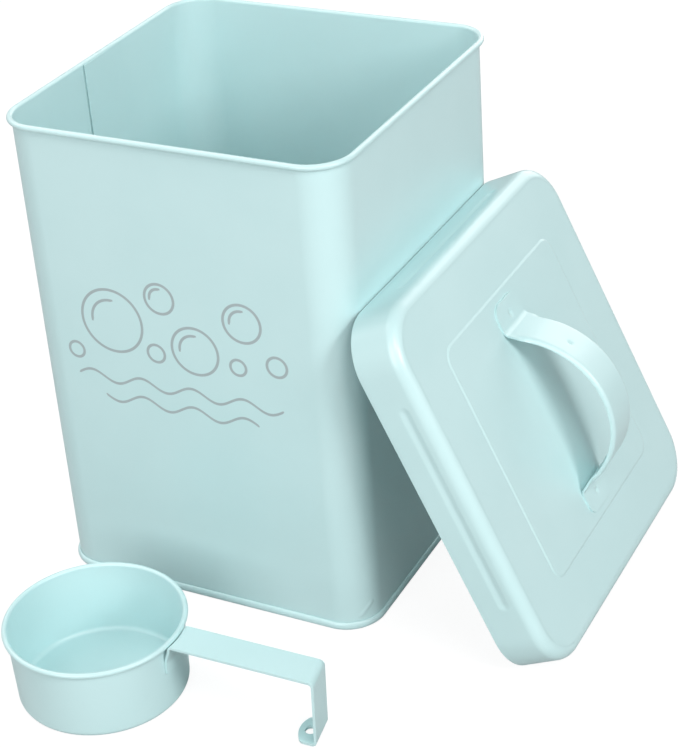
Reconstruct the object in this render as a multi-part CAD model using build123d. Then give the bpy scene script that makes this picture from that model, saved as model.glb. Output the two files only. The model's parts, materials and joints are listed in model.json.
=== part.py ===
from build123d import *
import os
from math import acos, asin, atan2, cos, degrees, hypot, radians, sin, sqrt, tan

# A square sheet-metal laundry powder bucket with its lift-off lid and its measuring scoop.
# Millimetres, +Z up. The origin is the middle of the bucket's base, at floor level.
# The front wall faces -Y and the side seam is in the -X wall. The lid is off: it leans on the +X wall
# with its open edge on the floor. The scoop stands in front of the bucket.

# Bucket
BUCKET_WIDTH = 168.0  # outside of the wall, both ways
BUCKET_HEIGHT = 240.0  # floor to the top of the rolled rim
WALL_CORNER_RADIUS = 18.0  # outside of the wall
WALL_SHEET = 0.6
RIM_BEAD_DIAMETER = 2.8
RIM_CURL_SLIT = 0.4  # left open between the curl's free edge and the wall
LAP_WIDTH = 8.0  # side seam: the sheet's inner end laps over its outer end
LAP_EDGE = -13.0  # Y of the lap's free edge, on the inside of the -X wall
SEAM_HEIGHT = 4.2  # band round the foot, where the base is folded over the wall
SEAM_FOLD = 1.4  # thickness of the folded band
SEAM_ROUND = 0.6
SEAM_CLEARANCE = 0.1  # between the wall's foot and the fold that holds it
BASE_SHEET = 0.6
BASE_RECESS = 3.0  # floor to the underside of the base panel

# Lid
LID_SHEET = 0.6
LID_SIDE_CLEARANCE = 5.0  # from the bucket's rim to the inside of the lid's skirt
LID_DEPTH = 23.8  # open edge to the flat border of the top
LID_CORNER_RADIUS = 24.0
LID_EDGE_RADIUS = 5.5  # rounding between skirt and top
PANEL_WIDTH = 119.0  # raised square in the top, at its foot
PANEL_CORNER_RADIUS = 8.0
PANEL_RISE = 1.8
PANEL_SLOPE_WIDTH = 2.2
GRIP_LENGTH = 100.0  # straight length of the groove pressed into each side of the skirt
GRIP_WIDTH = 5.8
GRIP_CLEARANCE = 3.0  # from the bucket's rim to the groove, which centres the lid
GRIP_HEIGHT = 13.2  # open edge to the groove's middle
LID_LEAN = 64.5  # degrees from flat
LID_LEAN_CLEARANCE = 0.3  # between the lid's upper edge and the bucket's wall

# Lid handle
HANDLE_SHEET = 1.0
HANDLE_WIDTH = 22.0
HANDLE_SPAN = 85.5  # between the two bend lines
HANDLE_RISE = 32.5  # panel to the top of the arch
HANDLE_FLANK_ANGLE = 63.0
HANDLE_FLANGE = 2.1  # depth of the turned-down edges
HANDLE_EDGE_BEND = 0.6  # inside radius of the turned-down edges
HANDLE_RUNOUT = 8.0  # length over which they run out above the foot's bend
HANDLE_FOOT_BEND = 3.0  # inside radius between flank and foot
HANDLE_FOOT_LENGTH = 11.5
HANDLE_FOOT_WIDTH = 24.0
HANDLE_FOOT_CORNER = 6.0
WELD_DIAMETER = 5.0
WELD_DEPTH = 0.35

# Scoop
SCOOP_DIAMETER = 84.6  # over the rolled rim
SCOOP_HEIGHT = 37.6
SCOOP_SHEET = 0.6
SCOOP_BEAD_DIAMETER = 2.6
SCOOP_CURL_SLIT = 0.4
SCOOP_TAPER = 0.9  # how much smaller the cup's radius is at its foot
SCOOP_FOOT_RADIUS = 4.0
SCOOP_STANDOFF = 30.4  # from the bucket's rim to the scoop's rim
SCOOP_SHIFT = -14.2  # along X from the bucket's middle
SCOOP_TURN = 2.0  # degrees from +X to the scoop's handle

# Scoop handle
STRAP_SHEET = 1.2
STRAP_WIDTH = 17.0
STRAP_DROP = 0.8  # top of the strap below the cup's rim
STRAP_RIM_GAP = 0.4  # between the cup's rim and the strap's leg
STRAP_WELD_GAP = 0.1  # between the cup's wall and the welded foot
STRAP_FOOT_LENGTH = 6.0  # stretch that lies on the wall
STRAP_LEG_HEIGHT = 9.0  # from that stretch to the top of the strap
STRAP_BEND = 0.6  # inside radius at the cup
STRAP_REACH = 111.0  # cup's axis to the outside of the drop leg
HOOK_BEND = 1.4  # inside radius at the drop leg's ends
HOOK_HEIGHT = 0.6  # floor to the underside of the tab
TAB_LENGTH = 11.0  # from the outside of the drop leg to the middle of the tab's end
TAB_END_RADIUS = 13.0  # the tab's end is an arc across its width
TAB_CORNER = 1.5  # where that arc meets the tab's sides
HANG_HOLE_DIAMETER = 5.0
HANG_HOLE_INSET = 5.6  # from the outside of the drop leg

RIM_HALF_WIDTH = BUCKET_WIDTH / 2 - WALL_SHEET + RIM_BEAD_DIAMETER
LID_WIDTH = 2 * (RIM_HALF_WIDTH + LID_SIDE_CLEARANCE + LID_SHEET)
PANEL_TOP = LID_DEPTH + PANEL_RISE
QUARTER_TURNS = (0, 90, 180, 270)
ON_FLOOR = (Align.CENTER, Align.CENTER, Align.MIN)


def curl(foot, wall_top, sheet, bead_diameter, slit):
    """Edges of a sheet that ends in an outward curl, from the curl's inner line round to its outer line.

    foot is where the sheet's outer face starts, and wall_top the point of that face beside the curl's middle.
    Both are (radius, height). Returns the edges from foot to the sheet's inner face at wall_top.
    """
    outer = bead_diameter / 2
    inner = outer - sheet
    middle = (wall_top[0] + inner, wall_top[1])
    turn = 180 + degrees(acos(-(inner - slit) / outer))
    inside = CenterArc(middle, inner, 180, -turn)
    outside = CenterArc(middle, outer, 180, -turn)
    return [Line(foot, wall_top), inside, Line(inside @ 1, outside @ 1), outside]


def square_ring(section, width, corner_radius):
    """Carry a section round a rounded square.

    The section lies in XZ, with X measured outwards from the axis of the square's corner.
    """
    reach = width / 2 - corner_radius
    corner = Pos(reach, reach) * revolve(section, Axis.Z, 90)
    side = Pos(reach, 0) * extrude(section, reach, both=True)
    return Part() + [Rot(0, 0, turn) * piece for turn in QUARTER_TURNS for piece in (corner, side)]


def corners(section, *points):
    """The section's corners at the given points."""
    return [section.vertices().sort_by_distance(point)[0] for point in points]


def rounded_frustum(width, corner_radius, slope_width, bottom, rise):
    """Raised square with sloping sides, standing on the height bottom."""
    top_width = width - 2 * slope_width
    foot = Pos(0, 0, bottom) * RectangleRounded(width, width, corner_radius)
    top = Pos(0, 0, bottom + rise) * RectangleRounded(top_width, top_width, corner_radius - slope_width)
    return loft([foot, top], ruled=True)


def capsule(radius, length):
    """Bar along Y with round ends, of the given straight length."""
    ends = [Pos(0, side * length / 2) * Sphere(radius) for side in (-1, 1)]
    return Rot(90, 0, 0) * Cylinder(radius, length) + ends


def make_bucket_wall():
    """One wrapped sheet: rolled rim at the top, lap seam down the inside of the -X wall."""
    wall_foot = BASE_SHEET + SEAM_CLEARANCE
    bead_middle = BUCKET_HEIGHT - RIM_BEAD_DIAMETER / 2
    inner_radius = WALL_CORNER_RADIUS - WALL_SHEET
    foot = (WALL_CORNER_RADIUS, wall_foot)
    edges = curl(foot, (WALL_CORNER_RADIUS, bead_middle), WALL_SHEET, RIM_BEAD_DIAMETER, RIM_CURL_SLIT)
    edges += [Polyline((inner_radius, bead_middle), (inner_radius, wall_foot), foot)]
    wall = square_ring(Plane.XZ * make_face(edges), BUCKET_WIDTH, WALL_CORNER_RADIUS)
    lap_bottom = BASE_RECESS + BASE_SHEET + SEAM_CLEARANCE
    lap = Box(WALL_SHEET, LAP_WIDTH, bead_middle - lap_bottom, align=(Align.MIN, Align.MIN, Align.MIN))
    return wall + Pos(WALL_SHEET - BUCKET_WIDTH / 2, LAP_EDGE, lap_bottom) * lap


def make_bucket_base():
    """Recessed panel whose edge is folded down, under the wall's foot and up outside it."""
    leg_outside = WALL_CORNER_RADIUS - WALL_SHEET - SEAM_CLEARANCE
    leg_inside = leg_outside - BASE_SHEET
    band_inside = WALL_CORNER_RADIUS + SEAM_CLEARANCE
    band_outside = band_inside + SEAM_FOLD
    panel_top = BASE_RECESS + BASE_SHEET
    outline = Polyline(
        (0, BASE_RECESS), (leg_inside, BASE_RECESS), (leg_inside, 0), (band_outside, 0),
        (band_outside, SEAM_HEIGHT), (band_inside, SEAM_HEIGHT), (band_inside, BASE_SHEET),
        (leg_outside, BASE_SHEET), (leg_outside, panel_top), (0, panel_top), close=True)
    section = make_face(outline)
    section = fillet(corners(section, (band_outside, 0), (band_outside, SEAM_HEIGHT)), SEAM_ROUND)
    flat = BUCKET_WIDTH - 2 * WALL_CORNER_RADIUS
    panel = Pos(0, 0, BASE_RECESS) * Box(flat, flat, BASE_SHEET, align=ON_FLOOR)
    return square_ring(Plane.XZ * section, BUCKET_WIDTH, WALL_CORNER_RADIUS) + panel


def make_lid_shell():
    """Pressed lid, open edge down on Z = 0: skirt with a groove in each side, top with a raised square."""
    edge_middle = (LID_CORNER_RADIUS - LID_EDGE_RADIUS, LID_DEPTH - LID_EDGE_RADIUS)
    underside = LID_DEPTH - LID_SHEET
    outside = CenterArc(edge_middle, LID_EDGE_RADIUS, 0, 90)
    inside = CenterArc(edge_middle, LID_EDGE_RADIUS - LID_SHEET, 0, 90)
    skirt_inside = LID_CORNER_RADIUS - LID_SHEET
    outline = [
        outside, Polyline(outside @ 1, (0, LID_DEPTH), (0, underside), inside @ 1), inside,
        Polyline(inside @ 0, (skirt_inside, 0), (LID_CORNER_RADIUS, 0), outside @ 0)]
    shell = square_ring(Plane.XZ * make_face(outline), LID_WIDTH, LID_CORNER_RADIUS)
    flat = LID_WIDTH - 2 * LID_CORNER_RADIUS
    shell += Pos(0, 0, underside) * Box(flat, flat, LID_SHEET, align=ON_FLOOR)
    raised = rounded_frustum(PANEL_WIDTH, PANEL_CORNER_RADIUS, PANEL_SLOPE_WIDTH, LID_DEPTH, PANEL_RISE)
    shell = shell + raised - Pos(0, 0, -LID_SHEET) * raised
    return press_grips(shell)


def press_grips(shell):
    """Press the four grip grooves into the skirt, at the sheet's own thickness."""
    depth = LID_SIDE_CLEARANCE - GRIP_CLEARANCE
    radius = (depth**2 + (GRIP_WIDTH / 2) ** 2) / (2 * depth)
    half_width = LID_WIDTH / 2
    place = Pos(half_width + radius - depth, 0, GRIP_HEIGHT)
    inner_side = Pos(half_width, 0, 0) * Box(
        half_width, LID_WIDTH, LID_DEPTH, align=(Align.MAX, Align.CENTER, Align.MIN))
    bulge = (place * capsule(radius + LID_SHEET, GRIP_LENGTH)) & inner_side
    groove = place * capsule(radius, GRIP_LENGTH)
    turns = [Rot(0, 0, turn) for turn in QUARTER_TURNS]
    return shell + [turn * bulge for turn in turns] - [turn * groove for turn in turns]


def make_lid_handle():
    """Arched strap along X with turned-down edges and a foot at each end, welded to the lid's panel."""
    half_span = HANDLE_SPAN / 2
    slope = radians(HANDLE_FLANK_ANGLE)
    apex = HANDLE_SHEET + half_span * tan(slope)
    crown_radius = (apex - HANDLE_RISE) * cos(slope) / (1 - cos(slope))
    crown_axis = Axis((0, 0, HANDLE_RISE - crown_radius), (0, 1, 0))
    bend_reach = HANDLE_FOOT_BEND * tan(slope / 2)
    flank_length = (half_span - crown_radius * sin(slope)) / cos(slope) - bend_reach

    section = Plane.YZ * handle_section()
    crown = revolve(Pos(0, 0, HANDLE_RISE) * section, crown_axis, HANDLE_FLANK_ANGLE)
    drop = crown_radius * (1 - cos(slope))
    flank_place = Pos(crown_radius * sin(slope), 0, HANDLE_RISE - drop) * Rot(0, HANDLE_FLANK_ANGLE, 0)
    runout = Plane.XZ * make_face(Polyline(
        (flank_length - HANDLE_RUNOUT, -HANDLE_FLANGE), (flank_length, -HANDLE_SHEET),
        (flank_length, -HANDLE_FLANGE), close=True))
    flank = flank_place * (extrude(section, flank_length) - extrude(runout, HANDLE_WIDTH, both=True))
    strip = Plane.YZ * Rectangle(HANDLE_WIDTH, HANDLE_SHEET, align=(Align.CENTER, Align.MAX))
    bend_start = flank_place * Pos(flank_length, 0, 0) * strip
    foot_start = half_span + bend_reach
    bend_axis = Axis((foot_start, 0, HANDLE_SHEET + HANDLE_FOOT_BEND), (0, -1, 0))
    bend = revolve(bend_start, bend_axis, HANDLE_FLANK_ANGLE)
    foot = Pos(foot_start, 0, 0) * handle_foot()
    half = crown + flank + bend + foot
    return Pos(0, 0, PANEL_TOP) * (half + mirror(half, Plane.YZ))


def handle_section():
    """Shallow channel, top face on the local X axis."""
    half = HANDLE_WIDTH / 2
    inner = half - HANDLE_SHEET
    section = make_face(Polyline(
        (-half, -HANDLE_FLANGE), (-half, 0), (half, 0), (half, -HANDLE_FLANGE), (inner, -HANDLE_FLANGE),
        (inner, -HANDLE_SHEET), (-inner, -HANDLE_SHEET), (-inner, -HANDLE_FLANGE), close=True))
    section = fillet(corners(section, (-half, 0), (half, 0)), HANDLE_EDGE_BEND + HANDLE_SHEET)
    return fillet(corners(section, (-inner, -HANDLE_SHEET), (inner, -HANDLE_SHEET)), HANDLE_EDGE_BEND)


def handle_foot():
    """Flat rounded foot from the bend outwards along X, with a weld dimple in its middle."""
    outline = Rectangle(HANDLE_FOOT_LENGTH, HANDLE_FOOT_WIDTH, align=(Align.MIN, Align.CENTER))
    outline = fillet(outline.vertices().group_by(Axis.X)[-1], HANDLE_FOOT_CORNER)
    plate = extrude(outline, HANDLE_SHEET)
    ball_radius = (WELD_DEPTH**2 + (WELD_DIAMETER / 2) ** 2) / (2 * WELD_DEPTH)
    ball_height = HANDLE_SHEET - WELD_DEPTH + ball_radius
    return plate - Pos(HANDLE_FOOT_LENGTH / 2, 0, ball_height) * Sphere(ball_radius)


def scoop_wall_radius(height):
    """Outside radius of the cup's tapering wall."""
    top = SCOOP_DIAMETER / 2 - SCOOP_BEAD_DIAMETER + SCOOP_SHEET
    return top - SCOOP_TAPER * (1 - height / (SCOOP_HEIGHT - SCOOP_BEAD_DIAMETER / 2))


def make_scoop_cup():
    """Drawn cup with a rolled rim, standing on Z = 0 about the origin."""
    bead_middle = SCOOP_HEIGHT - SCOOP_BEAD_DIAMETER / 2
    rim_radius = scoop_wall_radius(bead_middle)
    foot_radius = scoop_wall_radius(0)
    floor_radius = scoop_wall_radius(SCOOP_SHEET) - SCOOP_SHEET
    foot = (foot_radius, 0)
    edges = curl(foot, (rim_radius, bead_middle), SCOOP_SHEET, SCOOP_BEAD_DIAMETER, SCOOP_CURL_SLIT)
    edges += [Polyline(
        (rim_radius - SCOOP_SHEET, bead_middle), (floor_radius, SCOOP_SHEET), (0, SCOOP_SHEET), (0, 0), foot)]
    section = make_face(edges)
    section = fillet(corners(section, foot), SCOOP_FOOT_RADIUS)
    section = fillet(corners(section, (floor_radius, SCOOP_SHEET)), SCOOP_FOOT_RADIUS - SCOOP_SHEET)
    return revolve(Plane.XZ * section, Axis.Z, 360)


def make_scoop_handle():
    """Strap along X: leg welded to the cup's wall, flat grip, drop leg and a pierced tab turned back under it.

    From its welded foot the leg slants straight out, past the cup's rolled rim, to the bend at the grip.
    """
    strap_top = SCOOP_HEIGHT - STRAP_DROP
    weld_top = strap_top - STRAP_LEG_HEIGHT
    weld_foot = weld_top - STRAP_FOOT_LENGTH
    weld_radius = scoop_wall_radius(weld_top) + STRAP_WELD_GAP
    bead_radius = SCOOP_BEAD_DIAMETER / 2
    bead_out = SCOOP_DIAMETER / 2 - bead_radius - weld_radius
    bead_up = SCOOP_HEIGHT - bead_radius - weld_top
    slant = atan2(bead_up, bead_out) - asin((bead_radius + STRAP_RIM_GAP) / hypot(bead_out, bead_up))
    bend_radius = weld_radius + STRAP_LEG_HEIGHT / tan(slant)
    grip_start = bend_radius + STRAP_BEND + STRAP_SHEET
    path = FilletPolyline(
        (scoop_wall_radius(weld_foot) + STRAP_WELD_GAP, weld_foot), (weld_radius, weld_top),
        (bend_radius, strap_top), (grip_start + STRAP_WIDTH, strap_top),
        radius=(STRAP_BEND, STRAP_BEND + STRAP_SHEET))
    foot_section = Plane.XZ * make_face(offset(path, STRAP_SHEET, side=Side.RIGHT))
    quarter = Rot(0, 0, -45) * revolve(foot_section, Axis.Z, 90)
    foot_end = grip_start + STRAP_SHEET
    foot = quarter & Box(foot_end, STRAP_WIDTH, SCOOP_HEIGHT, align=(Align.MIN, Align.CENTER, Align.MIN))

    bend_line = STRAP_REACH - HOOK_BEND - STRAP_SHEET
    hook = FilletPolyline(
        (grip_start, strap_top), (STRAP_REACH, strap_top), (STRAP_REACH, HOOK_HEIGHT),
        (bend_line - STRAP_SHEET, HOOK_HEIGHT), radius=HOOK_BEND + STRAP_SHEET)
    hook_section = Plane.XZ * make_face(offset(hook, STRAP_SHEET, side=Side.RIGHT))
    strap = extrude(hook_section, STRAP_WIDTH / 2, both=True)
    tab = Pos(0, 0, HOOK_HEIGHT) * extrude(tab_outline(bend_line), STRAP_SHEET)
    hole = Cylinder(HANG_HOLE_DIAMETER / 2, HOOK_HEIGHT + STRAP_SHEET, align=ON_FLOOR)
    return foot + strap + tab - Pos(STRAP_REACH - HANG_HOLE_INSET, 0, 0) * hole


def tab_outline(bend_line):
    """The scoop's flat tab from above, from its arc end to the bend line."""
    half = STRAP_WIDTH / 2
    end = STRAP_REACH - TAB_LENGTH
    outline = Pos(end + TAB_END_RADIUS, 0) * Circle(TAB_END_RADIUS)
    outline &= Pos(end, 0) * Rectangle(bend_line - end, STRAP_WIDTH, align=(Align.MIN, Align.CENTER))
    side_end = end + TAB_END_RADIUS - sqrt(TAB_END_RADIUS**2 - half**2)
    return fillet(corners(outline, (side_end, -half), (side_end, half)), TAB_CORNER)


def lid_place():
    """Where the lid leans: lower open edge on the floor, upper open edge against the bucket's +X wall."""
    lean = radians(LID_LEAN)
    half_width = LID_WIDTH / 2
    out = BUCKET_WIDTH / 2 + LID_LEAN_CLEARANCE + half_width * cos(lean)
    return Pos(out, 0, half_width * sin(lean)) * Rot(0, LID_LEAN, 0)


def scoop_place():
    """Where the scoop stands, in front of the bucket."""
    out = RIM_HALF_WIDTH + SCOOP_STANDOFF + SCOOP_DIAMETER / 2
    return Pos(SCOOP_SHIFT, -out, 0) * Rot(0, 0, SCOOP_TURN)


def make_nodes():
    """All pieces in their places, by node name."""
    lid = lid_place()
    scoop = scoop_place()
    return {
        "bucket_wall": make_bucket_wall(),
        "bucket_base": make_bucket_base(),
        "lid_shell": lid * make_lid_shell(),
        "lid_handle": lid * make_lid_handle(),
        "scoop_cup": scoop * make_scoop_cup(),
        "scoop_handle": scoop * make_scoop_handle(),
    }


if __name__ == "__main__":
    os.makedirs("parts", exist_ok=True)
    for name, piece in make_nodes().items():
        export_step(piece, f"parts/{name}.step")
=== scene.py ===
import json
import logging
import math
from collections.abc import Callable, Iterable, Sequence
from dataclasses import dataclass
from enum import Enum
from typing import Any, Union

import bmesh
import bpy
from mathutils import Matrix, Vector

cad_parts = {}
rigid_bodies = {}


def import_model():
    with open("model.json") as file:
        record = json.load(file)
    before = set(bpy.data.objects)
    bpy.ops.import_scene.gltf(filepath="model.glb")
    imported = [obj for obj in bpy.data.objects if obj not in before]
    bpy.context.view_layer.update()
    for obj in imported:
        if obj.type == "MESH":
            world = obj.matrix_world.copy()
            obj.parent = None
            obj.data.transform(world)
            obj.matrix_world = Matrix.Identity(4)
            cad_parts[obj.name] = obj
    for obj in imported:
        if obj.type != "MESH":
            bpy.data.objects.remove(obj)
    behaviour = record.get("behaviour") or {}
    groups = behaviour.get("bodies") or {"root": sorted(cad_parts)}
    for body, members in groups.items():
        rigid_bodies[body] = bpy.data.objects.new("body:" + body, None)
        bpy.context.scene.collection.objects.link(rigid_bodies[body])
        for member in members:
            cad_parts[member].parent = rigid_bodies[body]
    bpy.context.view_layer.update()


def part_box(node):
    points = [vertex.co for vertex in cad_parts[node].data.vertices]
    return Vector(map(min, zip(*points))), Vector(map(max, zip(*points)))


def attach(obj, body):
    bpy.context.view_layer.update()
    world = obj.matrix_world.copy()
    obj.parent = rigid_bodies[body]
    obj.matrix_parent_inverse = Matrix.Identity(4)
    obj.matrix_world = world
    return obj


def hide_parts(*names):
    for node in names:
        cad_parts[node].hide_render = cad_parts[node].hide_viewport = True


# A square sheet-metal laundry powder bucket with its lift-off lid and its measuring scoop, in pale mint paint.
# Metres, +Z up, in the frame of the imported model: the front wall faces -Y and the lid leans on the +X wall.

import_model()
BODY = "root"

MM = 0.001
Y_AXIS = (0.0, 1.0, 0.0)
Z_AXIS = (0.0, 0.0, 1.0)
Point = tuple[float, float, float]
Colour = tuple[float, float, float, float]

logging.basicConfig(level=logging.INFO, format="%(name)s: %(message)s")
log = logging.getLogger("laundry_bucket")


def smooth_share(value: float) -> float:
    """Share from 0 to 1 with a soft start and end, for a value on the same range."""
    held = min(1.0, max(0.0, value))
    return held * held * (3 - 2 * held)


class Ray(Enum):
    """Kinds of ray that the floor and the sky tell apart."""

    CAMERA = "Is Camera Ray"
    GLOSSY = "Is Glossy Ray"
    THROUGH = "Is Transmission Ray"


class Bench:
    """One mesh on the modelling bench, worked in edit mode by operators."""

    SEED = 0.1 * MM
    WELD = 0.01 * MM
    ROUND_FROM = math.radians(40)
    ROUND_STEPS = 2
    SMOOTH_TO = math.radians(32)

    def __init__(self, name: str) -> None:
        """Lay out an empty mesh object.

        Args:
            name: the piece's name.
        """
        bpy.ops.object.select_all(action="DESELECT")
        bpy.ops.mesh.primitive_plane_add(size=self.SEED)
        self.piece = bpy.context.active_object
        self.piece.name = name
        self.piece.data.name = name
        bpy.ops.object.mode_set(mode="EDIT")
        bpy.ops.mesh.select_mode(type="VERT")
        bpy.ops.mesh.delete(type="VERT")
        bpy.ops.object.mode_set(mode="OBJECT")
        bpy.ops.object.mode_set(mode="EDIT")

    def pen_down(self, point: Point) -> None:
        """Put the pen on a point, with nothing else selected.

        Args:
            point: where the drawn line starts.
        """
        bpy.ops.mesh.select_all(action="DESELECT")
        bpy.ops.mesh.primitive_plane_add(size=self.SEED, location=point)
        bpy.ops.mesh.merge(type="CENTER")

    def draw(self, move: Point, runs: int = 1) -> None:
        """Draw what is selected along a straight line.

        Args:
            move: the line's whole length, as a vector.
            runs: how many equal steps it is drawn in.
        """
        step = tuple(part / runs for part in move)
        for _ in range(runs):
            bpy.ops.mesh.extrude_region_move(TRANSFORM_OT_translate={"value": step})

    def turn(self, centre: Point, axis: Point, degrees: float, steps: int) -> None:
        """Draw what is selected round an axis.

        Args:
            centre: a point of the axis.
            axis: its direction; the turn is right-handed about it.
            degrees: how far to turn.
            steps: how many equal steps it is drawn in.
        """
        bpy.ops.mesh.spin(steps=steps, angle=-math.radians(degrees), center=centre, axis=axis)

    def carry_round(self, reach: float, steps: int, runs: Sequence[float]) -> None:
        """Carry the line that the pen drew round a rounded square, and close it.

        Args:
            reach: from the square's middle to the axis of a corner.
            steps: steps in each corner.
            runs: shares of a side's length that its steps take, in order.
        """
        bpy.ops.mesh.select_linked()
        corners = ((reach, reach), (-reach, reach), (-reach, -reach), (reach, -reach))
        for index, (corner_x, corner_y) in enumerate(corners):
            self.turn((corner_x, corner_y, 0), Z_AXIS, 90, steps)
            next_x, next_y = corners[(index + 1) % len(corners)]
            for run in runs:
                self.draw(((next_x - corner_x) * run, (next_y - corner_y) * run, 0))
        self.weld()

    def weld(self) -> None:
        """Merge doubled points all over and turn the faces outwards."""
        bpy.ops.mesh.select_all(action="SELECT")
        bpy.ops.mesh.remove_doubles(threshold=self.WELD)
        bpy.ops.mesh.normals_make_consistent(inside=False)

    def pick(self, test: Callable[[Vector], bool]) -> None:
        """Select points by their place, with the edges and faces between them.

        Args:
            test: whether a point at that place is picked.
        """
        bpy.ops.mesh.select_all(action="DESELECT")
        mesh = bmesh.from_edit_mesh(self.piece.data)
        for point in mesh.verts:
            point.select = test(point.co)
        mesh.select_flush(True)
        bmesh.update_edit_mesh(self.piece.data)

    def press(self, move: Point, size: float) -> None:
        """Press what is selected into the sheet, taking its surroundings softly along.

        Args:
            move: depth and direction.
            size: how far the mark reaches from what is selected.
        """
        bpy.ops.transform.translate(
            value=move, use_proportional_edit=True, proportional_edit_falloff="SMOOTH", proportional_size=size)

    def rows(self, rows: Sequence[Sequence[Point]]) -> None:
        """Lay a grid through rows of points.

        Args:
            rows: the rows in order, all of one length.
        """
        bpy.ops.mesh.primitive_grid_add(x_subdivisions=len(rows[0]) - 1, y_subdivisions=len(rows) - 1)
        bpy.ops.object.mode_set(mode="OBJECT")
        places = [part for row in rows for point in row for part in point]
        self.piece.data.vertices.foreach_set("co", places)
        bpy.ops.object.mode_set(mode="EDIT")

    def modify(self, kind: str, **settings: Any) -> None:
        """Add a modifier and apply it.

        Args:
            kind: its type.
            settings: its properties.
        """
        bpy.ops.object.mode_set(mode="OBJECT")
        modifier = self.piece.modifiers.new(kind.lower(), kind)
        for name, value in settings.items():
            setattr(modifier, name, value)
        bpy.ops.object.modifier_apply(modifier=modifier.name)

    def thicken(self, sheet: float) -> None:
        """Give the drawn surface the sheet's thickness, half to each side."""
        self.modify("SOLIDIFY", thickness=sheet, offset=0.0, use_even_offset=True)

    def finish(self, rounding: float = 0.0, where: Matrix | None = None) -> bpy.types.Object:
        """Round the sharp edges as paint does, shade the bends smooth and put the mesh in its place.

        Args:
            rounding: width of the rounding; with 0 the edges stay sharp.
            where: the mesh's place and turn; the object is left at the origin.

        Returns:
            The finished piece.
        """
        if rounding:
            self.modify(
                "BEVEL", width=rounding, segments=self.ROUND_STEPS, limit_method="ANGLE",
                angle_limit=self.ROUND_FROM)
        bpy.ops.object.mode_set(mode="OBJECT")
        bpy.ops.object.shade_smooth_by_angle(angle=self.SMOOTH_TO)
        self.modify("WEIGHTED_NORMAL", keep_sharp=True)
        if where is not None:
            self.piece.matrix_world = where
            bpy.ops.object.transform_apply(location=True, rotation=True, scale=True)
        return self.piece

    def take_up(self) -> None:
        """Select this piece alone and make it the active one."""
        bpy.ops.object.select_all(action="DESELECT")
        self.piece.select_set(True)
        bpy.context.view_layer.objects.active = self.piece


@dataclass(frozen=True)
class Station:
    """A place along a bent strap, on its outer face: heading 0 is along +X and turns towards +Z."""

    x: float
    z: float
    heading: float
    along: float

    def under(self, depth: float) -> tuple[float, float]:
        """The point that lies that deep under the outer face, to the right of the heading."""
        return self.x + depth * math.sin(self.heading), self.z - depth * math.cos(self.heading)


def bent_path(points: Sequence[tuple[float, float]], radii: Sequence[float], step: float,
              arc_step: float) -> list[Station]:
    """Stations along a line of straight runs joined by arcs.

    Args:
        points: the line's corners, (x, z), its two ends among them.
        radii: radius of the arc at each inner corner.
        step: longest step on a straight run.
        arc_step: longest step on an arc, in degrees.

    Returns:
        The stations in order.
    """
    corners = [Vector(point) for point in points]
    headings = [math.atan2(*reversed(end - start)) for start, end in zip(corners, corners[1:])]
    bends = [math.remainder(after - before, math.tau) for before, after in zip(headings, headings[1:])]
    trims = [0.0, *(radius * math.tan(abs(bend) / 2) for radius, bend in zip(radii, bends)), 0.0]
    stations: list[Station] = []
    along = 0.0
    for index, heading in enumerate(headings):
        forward = Vector((math.cos(heading), math.sin(heading)))
        start = corners[index] + forward * trims[index]
        length = (corners[index + 1] - start).length - trims[index + 1]
        count = max(1, math.ceil(length / step))
        first = 1 if stations else 0
        for run in range(first, count + 1):
            spot = start + forward * length * run / count
            stations.append(Station(spot.x, spot.y, heading, along + length * run / count))
        along += length
        if index == len(bends):
            break
        bend, radius = bends[index], radii[index]
        side = math.copysign(1.0, bend)
        centre = start + forward * length + side * radius * Vector((-forward.y, forward.x))
        count = max(1, math.ceil(math.degrees(abs(bend)) / arc_step))
        for run in range(1, count + 1):
            turned = heading + bend * run / count
            spot = centre + side * radius * Vector((math.sin(turned), -math.cos(turned)))
            stations.append(Station(spot.x, spot.y, turned, along + radius * abs(bend) * run / count))
        along += radius * abs(bend)
    return stations


Operand = Union["Number", float]


@dataclass(frozen=True)
class Number:
    """A number in a node tree. Arithmetic on it adds Math nodes."""

    book: "NodeBook"
    socket: bpy.types.NodeSocket

    def __add__(self, other: Operand) -> "Number":
        """Sum."""
        return self.book.math("ADD", self, other)

    __radd__ = __add__

    def __sub__(self, other: Operand) -> "Number":
        """Difference."""
        return self.book.math("SUBTRACT", self, other)

    def __rsub__(self, other: Operand) -> "Number":
        """Difference, with this number taken away."""
        return self.book.math("SUBTRACT", other, self)

    def __mul__(self, other: Operand) -> "Number":
        """Product."""
        return self.book.math("MULTIPLY", self, other)

    __rmul__ = __mul__

    def __truediv__(self, other: Operand) -> "Number":
        """Quotient."""
        return self.book.math("DIVIDE", self, other)

    def __abs__(self) -> "Number":
        """Size without its sign."""
        return self.book.math("ABSOLUTE", self)

    def least(self, other: Operand) -> "Number":
        """The smaller of the two."""
        return self.book.math("MINIMUM", self, other)

    def most(self, other: Operand) -> "Number":
        """The larger of the two."""
        return self.book.math("MAXIMUM", self, other)

    def step(self, low: float, high: float) -> "Number":
        """Soft step from 0 to 1.

        Args:
            low: where it is 0; this may be the larger one.
            high: where it is 1.

        Returns:
            The step as a number.
        """
        start, end = (0.0, 1.0) if low < high else (1.0, 0.0)
        node = self.book.node(
            "ShaderNodeMapRange", {"interpolation_type": "SMOOTHSTEP"},
            {"Value": self, "From Min": min(low, high), "From Max": max(low, high), "To Min": start, "To Max": end})
        return Number(self.book, node.outputs["Result"])


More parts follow.
